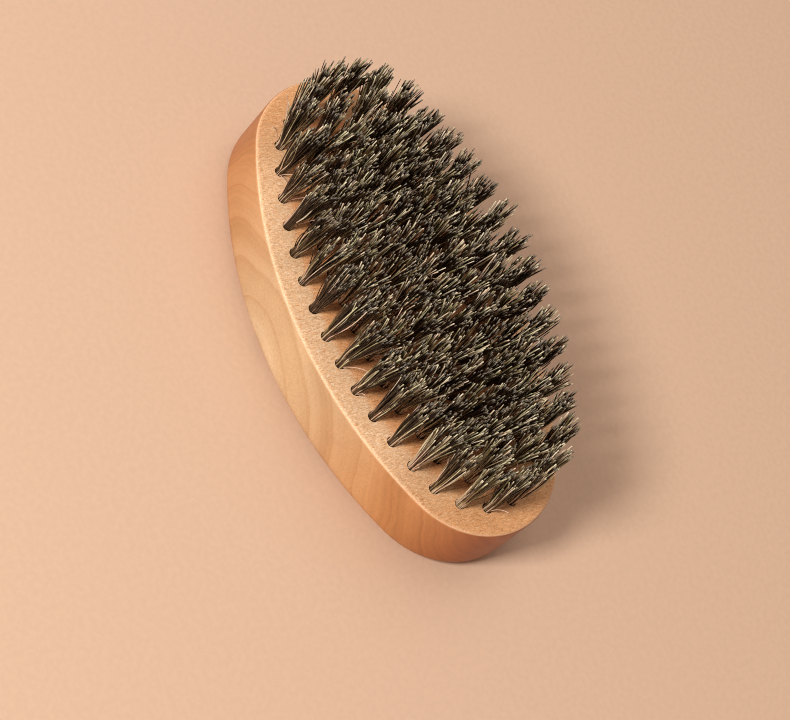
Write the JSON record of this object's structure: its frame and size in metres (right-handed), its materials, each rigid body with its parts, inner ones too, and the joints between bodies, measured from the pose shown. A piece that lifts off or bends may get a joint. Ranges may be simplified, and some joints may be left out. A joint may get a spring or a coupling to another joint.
{
  "type": "beard brush",
  "caption": "Palm-held beard brush: one oval wooden block with a flat drilled face, and crosswise rows of stiff natural bristle tufts held by anchor wires.",
  "frame": {"origin": "centre of the flat back, the face that rests on a table when the bristles point up", "axes": "+X along the brush, +Y across it, +Z from the back towards the bristle tips"},
  "size_m": [0.105, 0.055, 0.033],
  "materials": {
    "beech_wood": "fine sanded beech, satin side, raw pale drilled face",
    "boar_bristle": "natural boar bristle, mixed black, brown and cream, slightly glossy",
    "anchor_wire": "flat galvanised wire"
  },
  "bodies": {
    "root": {"wooden_block": "beech_wood", "bristle_row_01": "boar_bristle", "bristle_row_02": "boar_bristle", "bristle_row_03": "boar_bristle", "bristle_row_04": "boar_bristle", "bristle_row_05": "boar_bristle", "bristle_row_06": "boar_bristle", "bristle_row_07": "boar_bristle", "bristle_row_08": "boar_bristle", "bristle_row_09": "boar_bristle", "bristle_row_10": "boar_bristle", "bristle_row_11": "boar_bristle", "bristle_row_12": "boar_bristle", "bristle_row_13": "boar_bristle", "bristle_row_14": "boar_bristle", "bristle_row_15": "boar_bristle", "bristle_row_16": "boar_bristle", "anchor_row_01": "anchor_wire", "anchor_row_02": "anchor_wire", "anchor_row_03": "anchor_wire", "anchor_row_04": "anchor_wire", "anchor_row_05": "anchor_wire", "anchor_row_06": "anchor_wire", "anchor_row_07": "anchor_wire", "anchor_row_08": "anchor_wire", "anchor_row_09": "anchor_wire", "anchor_row_10": "anchor_wire", "anchor_row_11": "anchor_wire", "anchor_row_12": "anchor_wire", "anchor_row_13": "anchor_wire", "anchor_row_14": "anchor_wire", "anchor_row_15": "anchor_wire", "anchor_row_16": "anchor_wire"}
  },
  "joints": []
}
